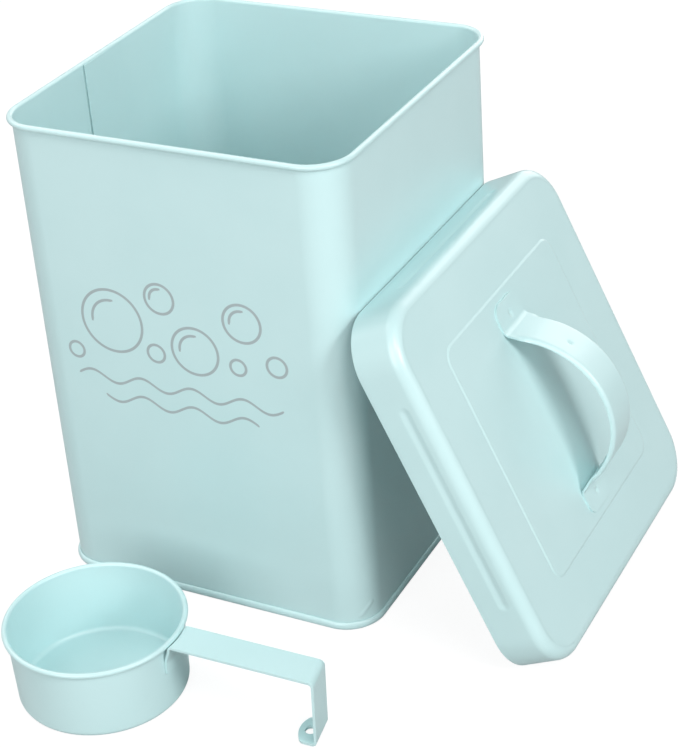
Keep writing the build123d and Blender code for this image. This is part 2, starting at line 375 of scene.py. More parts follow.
class NodeBook:
    """A node tree that is written by expressions."""

    def __init__(self, tree: bpy.types.NodeTree) -> None:
        """Open a node tree."""
        self.tree = tree

    def node(self, kind: str, settings: dict[str, Any] | None = None,
             sockets: dict[str | int, Any] | None = None) -> bpy.types.Node:
        """Add a node.

        Args:
            kind: its type.
            settings: its properties, which are set first.
            sockets: a value or a link for each input, by name or number.

        Returns:
            The node.
        """
        node = self.tree.nodes.new(kind)
        for name, value in (settings or {}).items():
            setattr(node, name, value)
        for name, value in (sockets or {}).items():
            self.feed(node.inputs[name], value)
        return node

    def feed(self, socket: bpy.types.NodeSocket, value: Any) -> None:
        """Feed a socket.

        Args:
            socket: the input to feed.
            value: a number or a socket to link it to, or the value it is set to.
        """
        if isinstance(value, Number):
            value = value.socket
        if isinstance(value, bpy.types.NodeSocket):
            self.tree.links.new(value, socket)
        else:
            socket.default_value = value

    def math(self, operation: str, *operands: Operand) -> Number:
        """Add a Math node on one or two numbers."""
        node = self.node("ShaderNodeMath", {"operation": operation}, dict(enumerate(operands)))
        return Number(self, node.outputs["Value"])

    def rays(self) -> dict[Ray, Number]:
        """For each kind of ray, a number that is 1 on such a ray and 0 on others."""
        path = self.node("ShaderNodeLightPath").outputs
        return {ray: Number(self, path[ray.value]) for ray in Ray}


class MaterialBook(NodeBook):
    """A material's node tree, with its shader and the place on the piece at hand."""

    def __init__(self, name: str) -> None:
        """Open a new material.

        Args:
            name: the material's name.
        """
        self.material = bpy.data.materials.new(name)
        self.material.use_nodes = True
        super().__init__(self.material.node_tree)
        self.shader = self.tree.nodes["Principled BSDF"]
        self.output = self.tree.nodes["Material Output"]
        self.place = self.node("ShaderNodeTexCoord").outputs["Object"]
        parts = self.node("ShaderNodeSeparateXYZ", sockets={"Vector": self.place}).outputs
        self.x, self.y, self.z = (Number(self, parts[axis]) for axis in "XYZ")

    def vector(self, operation: str, output: str, *operands: Any) -> bpy.types.NodeSocket:
        """Add a Vector Math node and give its named output."""
        node = self.node("ShaderNodeVectorMath", {"operation": operation}, dict(enumerate(operands)))
        return node.outputs[output]

    def noise(self, size: float, detail: float) -> Number:
        """Add noise from 0 to 1.

        Args:
            size: its grains' size in metres.
            detail: how many finer octaves it has.

        Returns:
            The noise as a number.
        """
        node = self.node("ShaderNodeTexNoise", {"noise_dimensions": "3D"}, {
            "Vector": self.place, "Scale": 1 / size, "Detail": detail})
        return Number(self, node.outputs["Fac"])

    def blend(self, share: Operand, first: Any, second: Any) -> bpy.types.NodeSocket:
        """Mix two colours.

        Args:
            share: how much of the second one.
            first: a colour, or a socket of one.
            second: a colour, or a socket of one.

        Returns:
            The mixed colour's socket.
        """
        node = self.node("ShaderNodeMix", {"data_type": "RGBA"})
        self.feed(node.inputs["Factor"], share)
        for socket, value in zip((s for s in node.inputs if s.type == "RGBA"), (first, second)):
            self.feed(socket, value)
        return next(s for s in node.outputs if s.type == "RGBA")

    def distance(self, start: Point, end: Point) -> Number:
        """Distance from the surface to a straight line.

        Args:
            start: one end of the line.
            end: its other end.

        Returns:
            The distance as a number.
        """
        line = Vector(end) - Vector(start)
        from_start = self.vector("SUBTRACT", "Vector", self.place, start)
        share = Number(self, self.vector("DOT_PRODUCT", "Value", from_start, tuple(line)))
        share = (share / line.length_squared).most(0.0).least(1.0)
        foot = self.node("ShaderNodeVectorMath", {"operation": "SCALE"}, {0: tuple(line), "Scale": share})
        return Number(self, self.vector("DISTANCE", "Value", from_start, foot.outputs["Vector"]))


@dataclass(frozen=True)
class Crease:
    """A small pucker or gap that the forming left in the sheet: a line, its half width and its height."""

    start: Point
    end: Point
    half_width: float
    height: float

    def relief(self, book: MaterialBook) -> Number:
        """Height over the surface, as a number in the node tree."""
        return book.distance(self.start, self.end).step(self.half_width, 0.0) * self.height


@dataclass(frozen=True)
class Bubble:
    """A printed ring on the front wall, with a short glint line inside where it is large."""

    x: float
    z: float
    radius: float

    GLINT_FROM = 7 * MM
    GLINT_SHARE = 0.66
    GLINT_ALONG = 0.42

    def line(self, book: MaterialBook) -> Number:
        """Distance to the ring's line, or to its glint's where that is nearer.

        Args:
            book: the material's node tree.

        Returns:
            The distance as a number in that tree.
        """
        across = book.x - self.x
        up = book.z - self.z
        length = book.math("SQRT", across * across + up * up)
        ring = abs(length - self.radius)
        if self.radius < self.GLINT_FROM:
            return ring
        side = (up - across) / math.sqrt(2)
        glint = abs(length - self.radius * self.GLINT_SHARE)
        beyond = (self.radius * self.GLINT_ALONG - side).most(0.0)
        return ring.least(glint + beyond)


@dataclass(frozen=True)
class Wave:
    """A printed wavy line on the front wall."""

    x: float
    z: float
    half_length: float
    height: float
    pitch: float

    def line(self, book: MaterialBook) -> Number:
        """Distance to the wave's line.

        Args:
            book: the material's node tree.

        Returns:
            The distance as a number in that tree.
        """
        across = book.x - self.x
        rise = book.math("SINE", across * (math.tau / self.pitch)) * self.height
        beyond = (abs(across) - self.half_length).most(0.0)
        return abs(book.z - self.z - rise) + beyond


@dataclass(frozen=True)
class Print:
    """Thin line design on the front wall: loose bubbles over two waves."""

    colour: Colour = (0.36, 0.44, 0.455, 1.0)
    stroke: float = 1.35 * MM
    edge: float = 0.12 * MM
    bubbles: tuple[Bubble, ...] = (
        Bubble(-36 * MM, 147 * MM, 16 * MM),
        Bubble(-9 * MM, 163 * MM, 7.5 * MM),
        Bubble(7 * MM, 139 * MM, 12 * MM),
        Bubble(33 * MM, 158 * MM, 9.5 * MM),
        Bubble(-14 * MM, 134 * MM, 4.5 * MM),
        Bubble(29 * MM, 135 * MM, 4 * MM),
        Bubble(-58 * MM, 128 * MM, 4 * MM),
        Bubble(49 * MM, 139 * MM, 5 * MM),
    )
    waves: tuple[Wave, ...] = (
        Wave(-4 * MM, 116 * MM, 54 * MM, 2.6 * MM, 27 * MM),
        Wave(-4 * MM, 106 * MM, 40.5 * MM, 2.6 * MM, 27 * MM),
    )

    def mask(self, book: MaterialBook, front: float) -> Number:
        """Where the ink lies.

        Args:
            book: the material's node tree.
            front: Y of a plane just inside the wall's outer face.

        Returns:
            1 on the lines, 0 elsewhere.
        """
        lines = [motif.line(book) for motif in (*self.bubbles, *self.waves)]
        nearest = lines[0]
        for line in lines[1:]:
            nearest = nearest.least(line)
        ink = nearest.step(self.stroke / 2 + self.edge, self.stroke / 2 - self.edge)
        return ink * book.y.step(front, front - self.edge)


@dataclass(frozen=True)
class Paint:
    """Satin stove paint on sheet metal: an even colour with slight clouding and a fine orange peel."""

    name: str
    colour: Colour = (0.565, 0.778, 0.787, 1.0)
    cloud: Colour = (0.547, 0.763, 0.772, 1.0)
    cloud_size: float = 55 * MM
    cloud_detail: float = 3.0
    cloud_range: tuple[float, float] = (0.35, 0.65)
    least_roughness: float = 0.295
    roughness_spread: float = 0.07
    streak_size: float = 55 * MM / 3
    streak_detail: float = 4.0
    coat: float = 0.4
    coat_roughness: float = 0.32
    peel_size: float = 1.3 * MM
    peel_detail: float = 1.5
    peel_depth: float = 0.012 * MM
    grain_size: float = 0.35 * MM
    grain_detail: float = 1.0
    grain_depth: float = 0.003 * MM
    creases: tuple[Crease, ...] = ()

    def book(self) -> MaterialBook:
        """The paint's node tree.

        Returns:
            A new material's node book, with its shader fed.
        """
        book = MaterialBook(self.name)
        clouds = book.noise(self.cloud_size, self.cloud_detail).step(*self.cloud_range)
        streaks = book.noise(self.streak_size, self.streak_detail)
        relief = book.noise(self.peel_size, self.peel_detail) * self.peel_depth
        relief = relief + book.noise(self.grain_size, self.grain_detail) * self.grain_depth
        for crease in self.creases:
            relief = relief + crease.relief(book)
        bump = book.node("ShaderNodeBump", sockets={"Strength": 1.0, "Distance": 1.0, "Height": relief})
        finish = {
            "Base Color": book.blend(clouds, self.colour, self.cloud),
            "Roughness": self.least_roughness + streaks * self.roughness_spread,
            "Normal": bump.outputs["Normal"],
            "Coat Weight": self.coat,
            "Coat Roughness": self.coat_roughness,
        }
        for name, value in finish.items():
            book.feed(book.shader.inputs[name], value)
        return book

    def material(self) -> bpy.types.Material:
        """The finished material."""
        return self.book().material


@dataclass(frozen=True)
class PrintedPaint(Paint):
    """The same paint with the front wall's print on it."""

    design: Print = Print()
    front: float = 0.0

    def material(self) -> bpy.types.Material:
        """Print the design over the paint's colour.

        Returns:
            The finished material.
        """
        book = self.book()
        base = book.shader.inputs["Base Color"]
        ink = self.design.mask(book, self.front)
        book.feed(base, book.blend(ink, base.links[0].from_socket, self.design.colour))
        return book.material


def dress(paint: Paint, pieces: dict[str, bpy.types.Object]) -> None:
    """Paint finished pieces and let each stand for its CAD node.

    Args:
        paint: their finish; the material takes its name.
        pieces: the piece that stands for each CAD node.
    """
    material = paint.material()
    for node, piece in pieces.items():
        piece.data.materials.clear()
        piece.data.materials.append(material)
        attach(piece, BODY)
        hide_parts(node)
        log.info("%s: %d faces, for %s", piece.name, len(piece.data.polygons), node)


@dataclass
class Bucket:
    """Square bucket: a wrapped wall with a rolled rim and a lapped seam, and a base folded over its foot."""

    corner_radius: float = 18 * MM
    sheet: float = 0.6 * MM
    bead: float = 2.8 * MM
    curl_degrees: float = 286.0
    foot: float = 0.7 * MM
    lap_edge: float = -13 * MM
    lap_ramp: float = 30 * MM
    lap_round: float = 0.12 * MM
    gap_half_width: float = 0.55 * MM
    gap_depth: float = 0.35 * MM
    ink_depth: float = 0.2 * MM
    pucker: Crease = Crease(
        start=(78.9 * MM, -78.6 * MM, 6.7 * MM), end=(82.3 * MM, -73.6 * MM, 12.5 * MM),
        half_width=1.9 * MM, height=0.32 * MM)
    band_height: float = 4.2 * MM
    band_fold: float = 1.4 * MM
    band_steps: int = 14
    base_round: float = 0.25 * MM
    seam_clearance: float = 0.1 * MM
    base_recess: float = 3.0 * MM
    corner_steps: int = 16
    curl_steps: int = 22
    wall_runs: int = 12
    side_runs: int = 6

    def __post_init__(self) -> None:
        """Take the overall sizes from the frame."""
        _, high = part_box("bucket_wall")
        self.height = high.z
        self.half_width = high.x - self.bead + self.sheet
        self.reach = self.half_width - self.corner_radius
        self.rim_middle = self.height - self.bead / 2

    def sides(self) -> list[float]:
        """Equal shares of a side's length."""
        return [1 / self.side_runs] * self.side_runs

    def build(self) -> None:
        """Model the wall and the base and paint them."""
        lap_foot = (self.sheet - self.half_width, self.lap_edge)
        gap = Crease(
            start=(*lap_foot, self.base_recess), end=(*lap_foot, self.rim_middle),
            half_width=self.gap_half_width, height=-self.gap_depth)
        paint = PrintedPaint(
            "bucket_paint", creases=(self.pucker, gap), front=self.ink_depth - self.half_width)
        dress(paint, {"bucket_wall": self.wall(), "bucket_base": self.base()})

    def wall(self) -> bpy.types.Object:
        """Wrapped wall with its rolled rim and the lap down the inside of the -X wall.

        Returns:
            The finished piece.
        """
        middle = self.corner_radius - self.sheet / 2
        curl = (self.bead - self.sheet) / 2
        bench = Bench("bucket_body")
        bench.pen_down((self.reach + middle, self.reach, self.foot))
        bench.draw((0, 0, self.rim_middle - self.foot), self.wall_runs)
        bench.turn(
            (self.reach + middle + curl, self.reach, self.rim_middle), Y_AXIS, self.curl_degrees, self.curl_steps)
        bench.carry_round(self.reach, self.corner_steps, self.sides())
        bench.thicken(self.sheet)
        body = bench.finish()
        lap = self.lap()
        bench.take_up()
        lap.select_set(True)
        bpy.ops.object.join()
        return body

    def lap(self) -> bpy.types.Object:
        """The sheet's lapped end: a step that runs out into the wall.

        Returns:
            The lap's mesh, to be joined to the wall.
        """
        inside = self.sheet - self.half_width
        bottom = self.base_recess + self.sheet + self.seam_clearance
        bench = Bench("bucket_lap")
        bench.pen_down((inside, self.lap_edge, bottom))
        bench.draw((self.sheet, 0, 0))
        bench.draw((-self.sheet, self.lap_ramp, 0))
        bench.draw((0, -self.lap_ramp, 0))
        bench.weld()
        bpy.ops.mesh.edge_face_add()
        bench.draw((0, 0, self.rim_middle - bottom))
        bench.weld()
        return bench.finish(self.lap_round)

    def base(self) -> bpy.types.Object:
        """Recessed panel, folded down, under the wall's foot and up outside it, as a round roll.

        Returns:
            The finished piece.
        """
        leg_outside = self.corner_radius - self.sheet - self.seam_clearance
        leg_inside = leg_outside - self.sheet
        band_inside = self.corner_radius + self.seam_clearance
        roll = [
            (band_inside + self.band_fold * math.sin(turn), self.band_height / 2 * (1 - math.cos(turn)))
            for turn in (math.pi * step / self.band_steps for step in range(self.band_steps + 1))]
        panel_top = self.base_recess + self.sheet
        panel_edge = leg_inside - self.base_recess
        outline = (
            (panel_edge, self.base_recess), (leg_inside, self.base_recess), (leg_inside, 0), *roll,
            (band_inside, self.sheet), (leg_outside, self.sheet), (leg_outside, panel_top), (panel_edge, panel_top))
        bench = Bench("bucket_foot")
        bench.pen_down((self.reach + outline[0][0], self.reach, outline[0][1]))
        for (start_x, start_z), (end_x, end_z) in zip(outline, outline[1:]):
            bench.draw((end_x - start_x, 0, end_z - start_z))
        bench.carry_round(self.reach, self.corner_steps, self.sides())
        inner = self.reach + panel_edge + Bench.WELD
        for height in (self.base_recess, panel_top):
            bench.pick(lambda spot: max(abs(spot.x), abs(spot.y)) < inner and abs(spot.z - height) < Bench.WELD)
            bpy.ops.mesh.edge_face_add()
        bench.weld()
        return bench.finish(self.base_round)


@dataclass
class Lid:
    """Pressed lid with a raised square and gripping grooves, and its arched strap handle."""

    sheet: float = 0.6 * MM
    depth: float = 23.8 * MM
    corner_radius: float = 24 * MM
    edge_radius: float = 5.5 * MM
    panel_width: float = 122 * MM
    panel_corner: float = 8 * MM
    panel_rise: float = 0.4 * MM
    panel_slope: float = 1.1 * MM
    panel_bend: float = 1.0 * MM
    panel_steps: int = 5
    grip_length: float = 100 * MM
    grip_width: float = 6.6 * MM
    grip_depth: float = 0.55 * MM
    grip_height: float = 13.2 * MM
    grip_row: float = 0.6 * MM
    grip_runs: int = 10
    low_skirt_runs: int = 3
    high_skirt_runs: int = 2
    lean: float = 64.5
    corner_steps: int = 18
    edge_steps: int = 12
    edge_round: float = 0.15 * MM

    strap_sheet: float = 1.0 * MM
    strap_width: float = 22 * MM
    strap_span: float = 85.5 * MM
    strap_rise: float = 33.6 * MM
    strap_slope: float = 63.0
    strap_flange: float = 2.1 * MM
    strap_bend: float = 0.95 * MM
    strap_flare: float = 13 * MM
    strap_columns: int = 14
    strap_bend_columns: int = 5
    strap_step: float = 0.8 * MM
    strap_arc_step: float = 1.0
    foot_bend: float = 3.0 * MM
    foot_length: float = 11.5 * MM
    foot_width: float = 24 * MM
    foot_corner: float = 6 * MM
    weld_diameter: float = 4.6 * MM
    weld_depth: float = 0.85 * MM
    mark_angle: float = -40.2
    mark_across: float = -1.6 * MM
    mark_diameter: float = 3.8 * MM
    mark_depth: float = 1.1 * MM
    strap_round: float = 0.22 * MM

    def __post_init__(self) -> None:
        """Take the lid's width and place from the frame, and work out the handle's arch."""
        low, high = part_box("lid_shell")
        self.half_width = (high.y - low.y) / 2
        angle = math.radians(self.lean)
        out = low.x + self.half_width * math.cos(angle)
        self.where = (
            Matrix.Translation((out, (low.y + high.y) / 2, low.z + self.half_width * math.sin(angle)))
            @ Matrix.Rotation(angle, 4, "Y"))
        self.reach = self.half_width - self.corner_radius
        self.panel_top = self.depth + self.panel_rise
        self.flank = math.radians(self.strap_slope)
        self.apex = self.strap_sheet + self.strap_span / 2 * math.tan(self.flank)
        self.crown = (self.apex - self.strap_rise) * math.cos(self.flank) / (1 - math.cos(self.flank))

    def build(self) -> None:
        """Model the shell and the handle and paint them."""
        dress(Paint("lid_paint"), {"lid_shell": self.shell(), "lid_handle": self.handle()})

    def side_runs(self) -> list[float]:
        """Shares of a side's length, short ones at the ends of the groove.

        Returns:
            The shares in order; they add up to 1.
        """
        side = 2 * self.reach
        ends = self.grip_width
        plain = (side - self.grip_length - ends) / 2
        fine = [self.grip_row] * round(ends / self.grip_row)
        middle = [(self.grip_length - ends) / self.grip_runs] * self.grip_runs
        runs = [plain, *fine, *middle, *fine, plain]
        return [run / sum(runs) for run in runs]

    def shell(self) -> bpy.types.Object:
        """Skirt, rounded edge, flat border and raised square, pressed from one sheet.

        Returns:
            The finished piece.
        """
        half = self.sheet / 2
        runs = self.side_runs()
        bench = Bench("lid_pressing")
        skirt = self.corner_radius - half
        edge_start = self.depth - self.edge_radius
        grip_low = self.grip_height - self.grip_width / 2
        grip_rows = round(self.grip_width / self.grip_row)
        bench.pen_down((self.reach + skirt, self.reach, 0))
        bench.draw((0, 0, grip_low), self.low_skirt_runs)
        bench.draw((0, 0, self.grip_width), grip_rows)
        bench.draw((0, 0, edge_start - grip_low - self.grip_width), self.high_skirt_runs)
        edge_axis = (self.reach + self.corner_radius - self.edge_radius, self.reach, edge_start)
        bench.turn(edge_axis, Y_AXIS, -90, self.edge_steps)
        bench.carry_round(self.reach, self.corner_steps, runs)
        self.raise_panel(bench, runs)
        self.press_grips(bench)
        bench.thicken(self.sheet)
        return bench.finish(self.edge_round, self.where)

    def raise_panel(self, bench: Bench, runs: Sequence[float]) -> None:
        """Join the raised square to the flat border.

        Args:
            bench: the lid's mesh, with its skirt and edge drawn.
            runs: shares of a side's length.
        """
        middle = self.depth - self.sheet / 2
        reach = self.panel_width / 2 - self.panel_corner
        angle = math.atan2(self.panel_rise, self.panel_slope)
        slope = math.degrees(angle)
        trim = self.panel_bend * math.tan(angle / 2)
        length = math.hypot(self.panel_rise, self.panel_slope) - 2 * trim
        foot = reach + self.panel_corner + trim
        bench.pen_down((foot, reach, middle))
        bench.turn((foot, reach, middle + self.panel_bend), Y_AXIS, slope, self.panel_steps)
        bench.draw((-length * math.cos(angle), 0, length * math.sin(angle)))
        top = foot - self.panel_slope - 2 * trim
        bench.turn(
            (top, reach, middle + self.panel_rise - self.panel_bend), Y_AXIS, -slope, self.panel_steps)
        bench.carry_round(reach, self.corner_steps, runs)
        bench.pick(lambda spot: abs(spot.z - middle) < Bench.WELD)
        bpy.ops.mesh.bridge_edge_loops()
        bench.pick(lambda spot: abs(spot.z - middle - self.panel_rise) < Bench.WELD)
        bpy.ops.mesh.edge_face_add()
        bench.weld()

    def press_grips(self, bench: Bench) -> None:
        """Press the groove into the middle of each side of the skirt.

        Args:
            bench: the lid's mesh.
        """
        skirt = self.half_width - self.sheet / 2
        half_length = self.grip_length / 2 + Bench.WELD
        half_row = self.grip_row / 2
        for out_x, out_y in ((1, 0), (0, 1), (-1, 0), (0, -1)):
            bench.pick(lambda spot: (
                abs(spot.z - self.grip_height) < half_row
                and abs(spot.x * out_y + spot.y * out_x) < half_length
                and abs(spot.x * out_x + spot.y * out_y - skirt) < Bench.WELD))
            bench.press((-out_x * self.grip_depth, -out_y * self.grip_depth, 0), self.grip_width / 2)

    def handle(self) -> bpy.types.Object:
        """Arched strap whose turned-down edges flare out flat into its two welded feet.

        Returns:
            The finished piece.
        """
        bench = Bench("lid_strap")
        bench.rows(self.strap_rows())
        foot = self.strap_span / 2 + self.foot_length / 2
        for side in (-1, 1):
            weld = (side * foot, 0, self.strap_sheet / 2)
            self.dimple(bench, weld, (0, 0, -self.weld_depth), self.weld_diameter)
        angle = math.radians(self.mark_angle)
        outward = Vector((math.sin(angle), 0, math.cos(angle)))
        mark = outward * self.crown + Vector((0, self.mark_across, self.strap_rise - self.crown))
        self.dimple(bench, tuple(mark), tuple(-outward * self.mark_depth), self.mark_diameter)
        bench.weld()
        bench.thicken(self.strap_sheet)
        return bench.finish(self.strap_round, self.where @ Matrix.Translation((0, 0, self.panel_top)))

    @staticmethod
    def dimple(bench: Bench, middle: Point, move: Point, diameter: float) -> None:
        """Press a round dimple into the mesh on the bench.

        Args:
            bench: the strap's mesh.
            middle: a point near the dimple's middle.
            move: depth and direction.
            diameter: the dimple's size.
        """
        mesh = bmesh.from_edit_mesh(bench.piece.data)
        nearest = min(mesh.verts, key=lambda point: (point.co - Vector(middle)).length)
        spot = nearest.co.copy()
        bench.pick(lambda place: (place - spot).length < Bench.WELD)
        bench.press(move, diameter / 2)

    def strap_rows(self) -> list[list[Point]]:
        """Rows of points across the strap, from foot to foot, in the middle of its sheet.

        Returns:
            The rows, each with its points from one edge to the other.
        """
        half_span = self.strap_span / 2
        bend_reach = self.foot_bend * math.tan(self.flank / 2)
        end = half_span + bend_reach + self.foot_length
        corners = (
            (-end, self.strap_sheet), (-half_span, self.strap_sheet), (0, self.apex),
            (half_span, self.strap_sheet), (end, self.strap_sheet))
        stations = bent_path(
            corners, (self.foot_bend, self.crown, self.foot_bend), self.strap_step, self.strap_arc_step)
        whole = stations[-1].along
        foot = self.foot_length + self.foot_bend * self.flank
        return [
            self.strap_row(station, end - abs(station.x), min(station.along, whole - station.along) - foot)
            for station in stations]

    def strap_row(self, station: Station, from_end: float, up_flank: float) -> list[Point]:
        """Points across the strap at one station.

        Args:
            station: the place along the strap.
            from_end: distance from the foot's end, level.
            up_flank: length along the strap from the foot's bend.

        Returns:
            The points from one edge to the other.
        """
        half_sheet = self.strap_sheet / 2
        radius = self.strap_bend + half_sheet
        flat = self.strap_width / 2 - half_sheet - radius
        lip = self.strap_flange - half_sheet - radius
        flared = smooth_share(up_flank / self.strap_flare)
        turned = math.pi / 2 * flared
        bend = radius * math.pi / 2
        developed = flat + bend + lip
        spread = [flat * column / self.strap_columns for column in range(self.strap_columns + 1)]
        spread += [
            flat + bend * (column + 1) / self.strap_bend_columns for column in range(self.strap_bend_columns)]
        spread += [developed - lip / 2, developed]
        rounding = max(0.0, self.foot_corner - from_end)
        foot_half = self.foot_width / 2 - self.foot_corner + math.sqrt(
            max(0.0, self.foot_corner**2 - rounding**2))
        narrow = foot_half / developed + (1 - foot_half / developed) * flared
        side: list[tuple[float, float]] = []
        for across in spread:
            past = max(0.0, across - flat)
            swing = min(turned, past / radius)
            straight = past - radius * swing
            out = min(across, flat) + radius * math.sin(swing) + straight * math.cos(swing)
            down = radius * (1 - math.cos(swing)) + straight * math.sin(swing)
            side.append((out * narrow, down))
        whole = [(-out, down) for out, down in reversed(side[1:])] + side
        points: list[Point] = []
        for out, down in whole:
            x, z = station.under(half_sheet + down)
            points.append((x, out, z))
        return points


@dataclass
class Scoop:
    """Drawn cup with a rolled rim, and a bent strap handle with a pierced tab."""

    sheet: float = 0.6 * MM
    bead: float = 2.6 * MM
    curl_degrees: float = 284.0
    taper: float = 0.9 * MM
    foot_radius: float = 3 * MM
    turned: float = 2.0
    round_steps: int = 120
    floor_runs: int = 4
    foot_steps: int = 10
    wall_runs: int = 6
    curl_steps: int = 22

    strap_sheet: float = 1.2 * MM
    strap_width: float = 16.6 * MM
    strap_drop: float = 0.4 * MM
    strap_fall: float = 1.1 * MM
    rim_gap: float = 0.4 * MM
    weld_gap: float = 0.1 * MM
    weld_length: float = 6.0 * MM
    leg_height: float = 9.4 * MM
    strap_bend: float = 0.6 * MM
    strap_reach: float = 111 * MM
    leg_lean: float = 1.1 * MM
    hook_bend: float = 1.4 * MM
    hook_height: float = 0.6 * MM
    hook_skew: float = 7.5
    skew_from: float = 55.5 * MM
    skew_over: float = 37 * MM
    tab_length: float = 11 * MM
    tab_end_radius: float = 13 * MM
    tab_corner: float = 1.5 * MM
    tab_corner_steps: int = 4
    tab_heading: float = math.radians(179)
    hole_diameter: float = 5 * MM
    hole_inset: float = 5.6 * MM
    hole_steps: int = 48
    punch_length: float = 4.8 * MM
    strap_round: float = 0.25 * MM
    strap_columns: int = 16
    strap_step: float = 2.5 * MM
    strap_arc_step: float = 9.0

    def __post_init__(self) -> None:
        """Take the cup's size and place from the frame."""
        low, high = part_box("scoop_cup")
        self.radius = (high.x - low.x) / 2
        self.height = high.z
        middle = (low + high) / 2
        self.where = Matrix.Translation((middle.x, middle.y, low.z)) @ Matrix.Rotation(
            math.radians(self.turned), 4, "Z")
        self.rim_middle = self.height - self.bead / 2

    def wall_radius(self, height: float) -> float:
        """Outside radius of the tapering wall."""
        return self.radius - self.bead + self.sheet - self.taper * (1 - height / self.rim_middle)

    def build(self) -> None:
        """Model the cup and the strap and paint them."""
        dress(Paint("scoop_paint"), {"scoop_cup": self.cup(), "scoop_handle": self.strap()})

    def cup(self) -> bpy.types.Object:
        """Drawn cup, spun from its half section.

        Returns:
            The finished piece.
        """
        half = self.sheet / 2
        lean = math.atan2(self.taper, self.rim_middle)
        bend = self.foot_radius - half
        axis_height = half + bend
        axis_radius = self.wall_radius(axis_height) - half - bend / math.cos(lean)
        wall_foot = (axis_radius + bend * math.cos(lean), axis_height - bend * math.sin(lean))
        rim = self.wall_radius(self.rim_middle) - half
        curl = (self.bead - self.sheet) / 2
        bench = Bench("scoop_bowl")
        bench.pen_down((0, 0, half))
        bench.draw((axis_radius, 0, 0), self.floor_runs)
        bench.turn((axis_radius, 0, axis_height), Y_AXIS, math.degrees(lean) - 90, self.foot_steps)
        bench.draw((rim - wall_foot[0], 0, self.rim_middle - wall_foot[1]), self.wall_runs)
        bench.turn((rim + curl, 0, self.rim_middle), Y_AXIS, self.curl_degrees, self.curl_steps)
        bpy.ops.mesh.select_linked()
        bench.turn((0, 0, 0), Z_AXIS, 360, self.round_steps)
        bench.weld()
        bench.thicken(self.sheet)
        return bench.finish(where=self.where)

    def strap(self) -> bpy.types.Object:
        """Strap: foot on the cup's wall, flat grip, drop leg and a pierced tab turned back under it.

        Returns:
            The finished piece.
        """
        bench = Bench("scoop_strap")
        bench.rows(self.strap_rows())
        half = self.strap_width / 2
        corner = self.tab_end(half) + Bench.WELD
        bench.pick(lambda spot: (
            spot.x < corner + self.skew(corner, spot.y) and abs(spot.y) > half - Bench.WELD
            and spot.z < self.hook_height + self.strap_sheet))
        bpy.ops.mesh.bevel(offset=self.tab_corner, segments=self.tab_corner_steps, affect="VERTICES")
        bench.weld()
        bench.thicken(self.strap_sheet)
        self.pierce(bench)
        return bench.finish(self.strap_round, self.where)

    def tab_end(self, across: float) -> float:
        """X of the tab's arc end at a distance from its middle line."""
        dip = self.tab_end_radius - math.sqrt(self.tab_end_radius**2 - across**2)
        return self.strap_reach - self.tab_length + dip

    def skew(self, along: float, across: float) -> float:
        """How far the bend at the hook, which was set slightly askew, shifts a point along the strap."""
        share = smooth_share((along - self.skew_from) / self.skew_over)
        return -across * math.tan(math.radians(self.hook_skew)) * share

    def pierce(self, bench: Bench) -> None:
        """Cut the hanging hole through the tab.

        Args:
            bench: the strap's mesh.
        """
        bpy.ops.object.mode_set(mode="OBJECT")
        bpy.ops.mesh.primitive_cylinder_add(
            vertices=self.hole_steps, radius=self.hole_diameter / 2, depth=self.punch_length,
            location=(self.strap_reach - self.hole_inset, 0, self.hook_height + self.strap_sheet / 2))
        punch = bpy.context.active_object
        bench.take_up()
        bench.modify("BOOLEAN", operation="DIFFERENCE", object=punch, solver="EXACT")
        bpy.data.objects.remove(punch)

    def strap_rows(self) -> list[list[Point]]:
        """Rows of points across the strap, from its foot to its tab, in the middle of its sheet.

        Returns:
            The rows, each with its points from one edge to the other.
        """
        top = self.height - self.strap_drop
        weld_top = top - self.leg_height
        weld_foot = weld_top - self.weld_length
        weld_radius = self.wall_radius(weld_top) + self.weld_gap
        rim = Vector((self.radius - self.bead / 2 - weld_radius, self.rim_middle - weld_top))
        slant = math.atan2(rim.y, rim.x) - math.asin((self.bead / 2 + self.rim_gap) / rim.length)
        bend_radius = weld_radius + self.leg_height / math.tan(slant)
        corners = (
            (self.wall_radius(weld_foot) + self.weld_gap, weld_foot), (weld_radius, weld_top),
            (bend_radius, top), (self.strap_reach + self.leg_lean, top - self.strap_fall),
            (self.strap_reach, self.hook_height), (self.strap_reach - self.tab_length, self.hook_height))
        outer_bend = self.strap_bend + self.strap_sheet
        hook = self.hook_bend + self.strap_sheet
        stations = bent_path(
            corners, (outer_bend, outer_bend, hook, hook), self.strap_step, self.strap_arc_step)
        straight_from = bend_radius + outer_bend
        tab_start = self.strap_reach - hook
        half = self.strap_width / 2
        rows: list[list[Point]] = []
        for station in stations:
            x, z = station.under(self.strap_sheet / 2)
            wrapped = 1 - smooth_share((x - straight_from) / self.strap_width)
            on_tab = abs(station.heading) > self.tab_heading
            row: list[Point] = []
            for column in range(self.strap_columns + 1):
                across = half * (2 * column / self.strap_columns - 1)
                out = x + wrapped * (math.sqrt(x**2 - across**2) - x)
                if on_tab:
                    share = (tab_start - x) / (tab_start - self.tab_end(0))
                    out = tab_start + share * (self.tab_end(across) - tab_start)
                row.append((out + self.skew(x, across), across, z))
            rows.append(row)
        return rows


@dataclass(frozen=True)
class Lamp:
    """A soft square lamp that looks at the middle of the set."""

    name: str
    place: Point
    size: float
    power: float

    def build(self, aim: Point) -> None:
        """Hang the lamp and turn it.

        Args:
            aim: the point it looks at.
        """
        data = bpy.data.lights.new(self.name, "AREA")
        data.size = self.size
        data.energy = self.power
        lamp = bpy.data.objects.new(self.name, data)
        lamp.location = self.place
        lamp.rotation_euler = (Vector(aim) - Vector(self.place)).to_track_quat("-Z", "Y").to_euler()
        bpy.context.scene.collection.objects.link(lamp)


